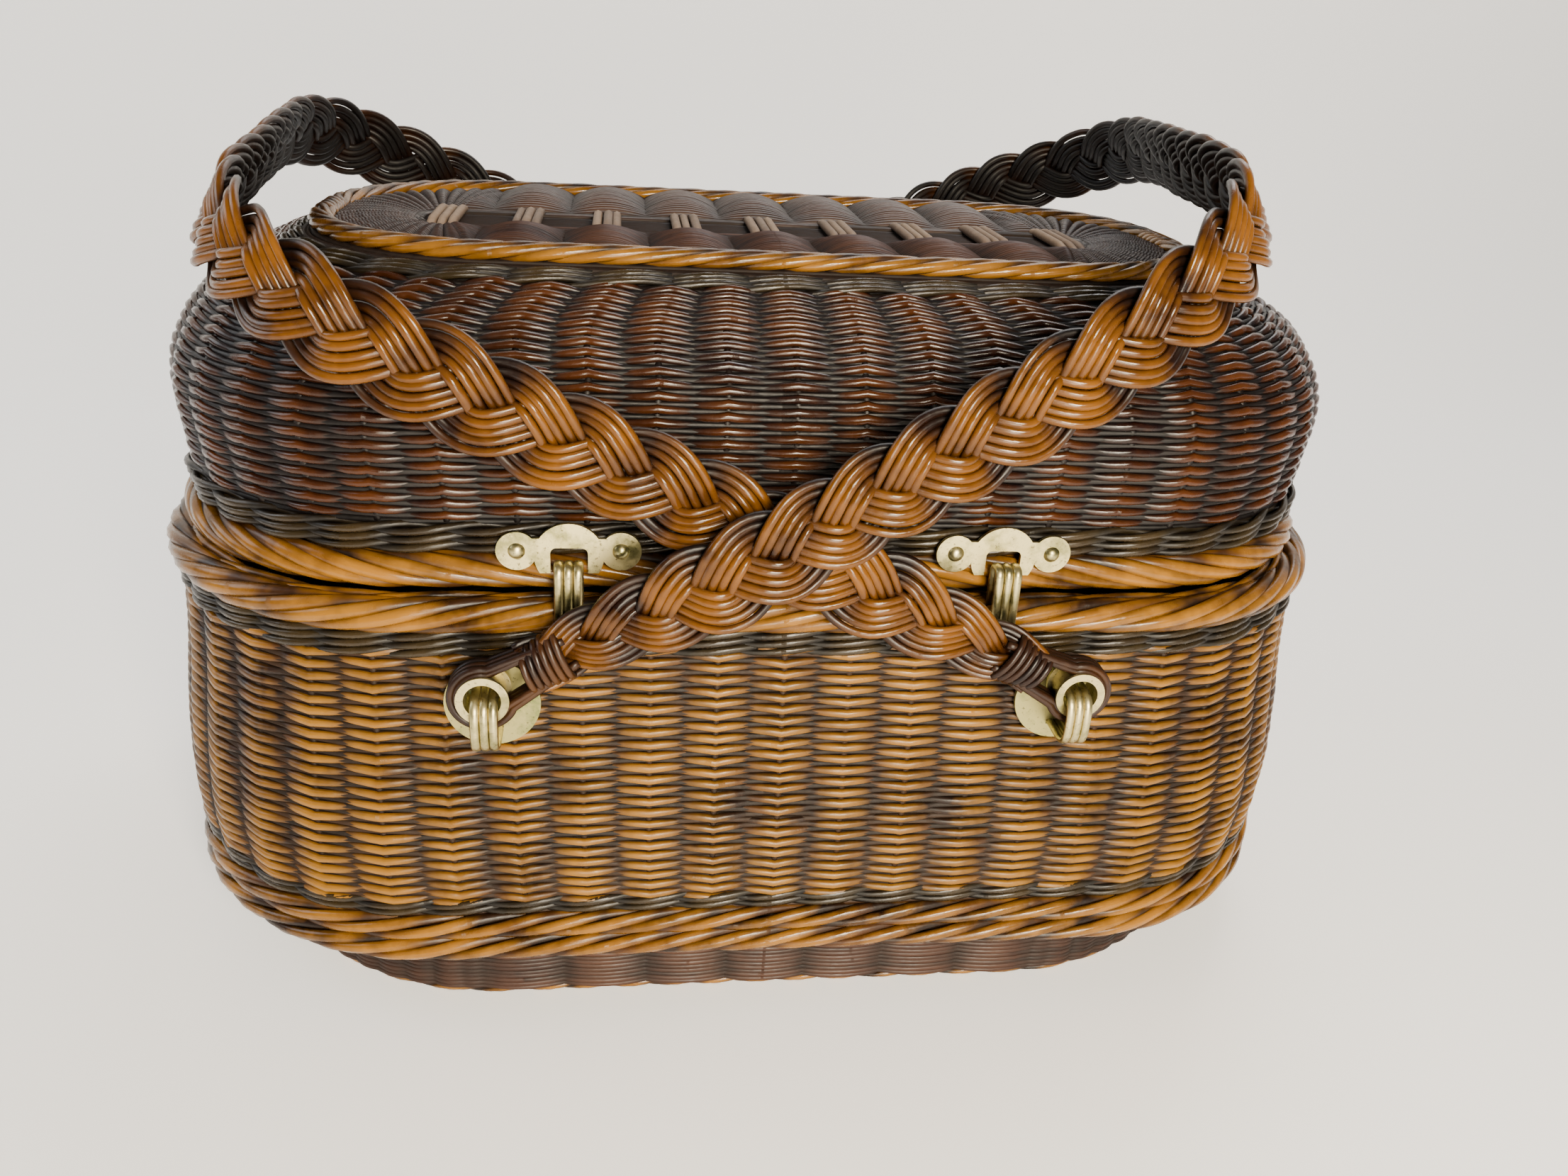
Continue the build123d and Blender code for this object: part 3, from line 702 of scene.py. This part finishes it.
def build_handle(name, pivot_x, angle, y_leg, reach, skew, twist):
    """Three strands of five canes in a flat plait, drawn in to a neck round each eyelet."""
    strands = Strands()
    s, path = handle_path(y_leg, reach, skew)
    length = s[-1]
    tangent = np.gradient(path, axis=0)
    tangent /= np.linalg.norm(tangent, axis=1)[:, None]
    depth_way = np.stack([tangent[:, 1], -tangent[:, 0]], -1)
    periods = round(length / PLAIT_PERIOD)
    from_end = np.minimum(s, length - s)
    width = 0.60 + 0.40 * np.clip((from_end - 22) / 50, 0, 1)
    keep = from_end > 14
    canes, spacing, radius = 5, 2.65, 1.42
    a = math.radians(angle)

    def place(local):
        """From (reach, Y, across) in the handle's plane to the object's frame."""
        x = pivot_x + local[:, 0] * math.cos(a) - local[:, 2] * math.sin(a)
        z = PIVOT_Z + local[:, 0] * math.sin(a) + local[:, 2] * math.cos(a)
        return np.stack([x, local[:, 1], z], -1)

    def lay(along, across, depth):
        """A point on the plait from its place along the path, across its width and through it."""
        at = np.stack([np.interp(along, s, path[:, k]) for k in range(2)], -1)
        way = np.stack([np.interp(along, s, depth_way[:, k]) for k in range(2)], -1)
        at = at + way * depth[:, None]
        warp = twist * -at[:, 1] / 100.0 * (np.clip(at[:, 0], 0, reach) / reach) ** 3
        return np.stack([at[:, 0], at[:, 1], across + warp], -1), way

    for k in range(3):
        phase = 2 * math.pi * (periods * s / length + k / 3)
        across = PLAIT_SWAY * np.sin(phase) * width
        depth = PLAIT_DEPTH * np.sin(2 * phase) * (0.75 + 0.25 * width)
        slope = np.gradient(across, s)
        norm = np.hypot(slope, 1)
        for j in range(canes):
            offset = (j - (canes - 1) / 2) * spacing * width
            jitter = 0.25 * np.sin(2 * math.pi * (s / length * rng.integers(4, 11) + rng.random()))
            along = s - slope / norm * (offset + jitter)
            side = across + (offset + jitter) / norm
            lift = depth + 0.25 * np.sin(s / 9.0 + rng.random() * 6) + 0.15 * rng.standard_normal()
            local, way = lay(np.clip(along, 0, length), side, lift)
            flat_way = np.stack([way[:, 0], way[:, 1], np.zeros(len(s))], -1)
            local, up = local[keep], flat_way[keep]
            points = place(local)
            facing = place(local + up) - points
            size = radius * (0.45 + 0.55 * width[keep]) * (1 + 0.05 * rng.standard_normal())
            crest = 0.62 + 0.24 * np.sin(phase * 2)[keep]
            strands.tube(points, size, facing, False, 8, 0.92, rng.random(), crest)

    turn = np.linspace(-2.25, 2.25, 34)
    for end in (-1, 1):
        for layer in range(3):
            for ring_r in (7.7, 9.4):
                depth = (layer - 1) * 2.5
                back = np.linspace(0, 1, 14)[1:]
                circle = np.stack([-ring_r * np.cos(turn), ring_r * np.sin(turn)], -1)
                tail = circle[-1:] + (np.array([[30.0, 4.2]]) - circle[-1:]) * back[:, None]
                head = (circle[:1] + (np.array([[30.0, -4.2]]) - circle[:1]) * back[:, None])[::-1]
                loop = np.concatenate([head, circle, tail])
                y = np.full(len(loop), end * EYELET_Y + depth)
                points = place(np.stack([loop[:, 0], y, loop[:, 1]], -1))
                strands.tube(points, 1.35, (0, end, 0), False, 7, 1.0, rng.random(), 0.5)
        for wrap in range(6):
            r = 15.5 + wrap * 2.3
            around = np.linspace(0, 2 * math.pi, 28, endpoint=False)
            half_up, half_out = 6.2 + 0.35 * wrap, 5.0
            local = np.stack([
                r + 1.1 * np.cos(around),
                end * EYELET_Y + half_out * np.sin(around),
                half_up * np.cos(around),
            ], -1)
            points = place(local)
            centre = place(np.array([[r, end * EYELET_Y, 0.0]]))
            strands.tube(points, 1.2, points - centre, True, 7, 1.0, rng.random(), 0.55)
    strands.piece(name + "_plait", M_PLAIT, name, [name + "_braid"])


# Brass


def ribbed_strap(strands, path, width, ribs=3, radius=1.45):
    """A strap of round ribs side by side along a path in a plane of constant X."""
    path = np.asarray(path, float)
    inner = path.mean(0)
    for k in range(ribs):
        x = (k - (ribs - 1) / 2) * width / ribs
        points = path + (x, 0, 0)
        strands.tube(points, radius, points - (inner + (x, 0, 0)), False, 8, 0.7, 0.5, 0.5)


def rounded_path(corners, radius, steps=7):
    """Points along a polyline in (y, z) with its corners rounded."""
    out = [corners[0]]
    for a, b, c in zip(corners, corners[1:], corners[2:]):
        a, b, c = Vector(a), Vector(b), Vector(c)
        r = min(radius, (a - b).length / 2, (c - b).length / 2)
        start, end = b + (a - b).normalized() * r, b + (c - b).normalized() * r
        for t in np.linspace(0, 1, steps):
            out.append(tuple(start.lerp(b, t).lerp(b.lerp(end, t), t)))
    out.append(corners[-1])
    return out


LOOP_X = 90.5
HASP_X = 66.0


def build_brass():
    loops = Strands()
    bottom, front = low("handle_loops")[2], -low("handle_loops")[1]
    wall_y = HALF_D - 2.0
    for sx in (-1, 1):
        for sy in (-1, 1):
            corners = [
                (wall_y, PIVOT_Z + 0.6), (front - 0.8, PIVOT_Z + 0.6),
                (front - 0.8, bottom + 0.9), (wall_y, bottom + 0.9),
            ]
            path = [(sx * LOOP_X, sy * y, z) for y, z in rounded_path(corners, 6.5)]
            ribbed_strap(loops, path, 8.0)
    loops.piece("ribbed_loops", M_BRASS, "body", ["handle_loops"])
    staples = Strands()
    lo, hi = low("hasp_staples"), high("hasp_staples")
    for sx in (-1, 1):
        corners = [
            (lo[1] + 1.0, lo[2] + 1.0), (lo[1] + 0.9, hi[2] - 0.9),
            (hi[1] - 0.9, hi[2] - 0.9), (hi[1] - 0.9, RIM_TOP - 1.0),
        ]
        path = [(sx * HASP_X, y, z) for y, z in rounded_path(corners, 3.0)]
        ribbed_strap(staples, path, 8.4)
    staples.piece("ribbed_staples", M_BRASS, "body", ["hasp_staples"])
    for name, material in (
        ("handle_discs", M_GREEN), ("handle_washers", M_GREEN), ("hasp_plates", M_BRASS),
        ("hasp_rivets", M_BRASS), ("hasp_washers", M_GREEN), ("hinge_body_leaves", M_GREEN),
        ("hinge_lid_leaves", M_GREEN), ("hinge_pins", M_BRASS), ("hinge_body_rivets", M_BRASS),
        ("hinge_lid_rivets", M_BRASS), ("handle_a_eyelets", M_BRASS), ("handle_b_eyelets", M_BRASS),
    ):
        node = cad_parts[name]
        node.data.materials.clear()
        node.data.materials.append(material)


# Stage, lights and camera


def build_stage():
    size = 3.0
    profile = [(-size, 0.0), (0.55, 0.0)]
    for t in np.linspace(0, math.pi / 2, 12):
        profile.append((0.55 + 0.45 * math.sin(t), 0.45 * (1 - math.cos(t))))
    profile.append((1.0, 2.6))
    verts, faces = [], []
    for y, z in profile:
        verts += [(-size, y, z - 0.0004), (size, y, z - 0.0004)]
    for k in range(len(profile) - 1):
        faces.append((2 * k, 2 * k + 1, 2 * k + 3, 2 * k + 2))
    mesh = bpy.data.meshes.new("studio_floor")
    mesh.from_pydata(verts, [], faces)
    for polygon in mesh.polygons:
        polygon.use_smooth = True
    material, tree, shader = nodes_of("floor_paint")
    shader.inputs["Base Color"].default_value = (0.93, 0.91, 0.88, 1)
    shader.inputs["Roughness"].default_value = 0.6
    shader.inputs["Emission Color"].default_value = (1.0, 0.97, 0.93, 1)
    shader.inputs["Emission Strength"].default_value = 0.45
    mesh.materials.append(material)
    floor = bpy.data.objects.new("studio_floor", mesh)
    bpy.context.collection.objects.link(floor)


def area_light(name, place, aim, size, power, colour=(1, 1, 1)):
    data = bpy.data.lights.new(name, "AREA")
    data.size, data.energy, data.color = size, power, colour
    light = bpy.data.objects.new(name, data)
    light.location = place
    light.rotation_euler = (Vector(aim) - Vector(place)).to_track_quat("-Z", "Y").to_euler()
    bpy.context.collection.objects.link(light)


def build_lights():
    area_light("key", (0.15, -0.95, 0.52), (0.02, -0.1, 0.10), 0.26, 20, (1.0, 0.88, 0.68))
    area_light("low_front", (0.05, -0.95, 0.12), (0, 0, 0.10), 0.30, 6, (1.0, 0.90, 0.72))
    area_light("left", (-1.3, 0.1, 0.9), (0, 0, 0.1), 0.8, 8, (0.92, 0.96, 1.0))
    area_light("back", (0.4, 0.9, 1.3), (0, 0, 0.1), 0.9, 16, (0.98, 0.98, 1.0))
    world = bpy.data.worlds.new("studio")
    world.use_nodes = True
    world.node_tree.nodes["Background"].inputs[0].default_value = (0.90, 0.90, 0.88, 1)
    world.node_tree.nodes["Background"].inputs[1].default_value = 0.22
    bpy.context.scene.world = world


def build_camera():
    yaw, pitch, roll = math.radians(8.26), math.radians(24.79), math.radians(3.65)
    forward = Vector((
        math.sin(yaw) * math.cos(pitch), math.cos(yaw) * math.cos(pitch), -math.sin(pitch)
    ))
    level = Vector((math.cos(yaw), -math.sin(yaw), 0))
    above = level.cross(forward)
    right = level * math.cos(roll) + above * math.sin(roll)
    up = above * math.cos(roll) - level * math.sin(roll)
    data = bpy.data.cameras.new("camera")
    data.sensor_width = 36.0
    data.lens = 28.43
    data.clip_start = 0.01
    camera = bpy.data.objects.new("camera", data)
    turn = Matrix((right, up, -forward)).transposed().to_4x4()
    camera.matrix_world = Matrix.Translation(Vector((-0.0508, -0.4640, 0.3159))) @ turn
    bpy.context.collection.objects.link(camera)
    bpy.context.scene.camera = camera


build_camera()
build_stage()
build_lights()
build_body()
build_foot()
build_base()
build_lid()
build_handle("handle_a", PIVOT_X, angle=153.5, y_leg=138.0, reach=296.0, skew=13.0, twist=0.0)
build_handle("handle_b", -PIVOT_X, angle=30.5, y_leg=149.0, reach=286.0, skew=25.0, twist=12.0)
build_brass()

bpy.context.view_layer.update()
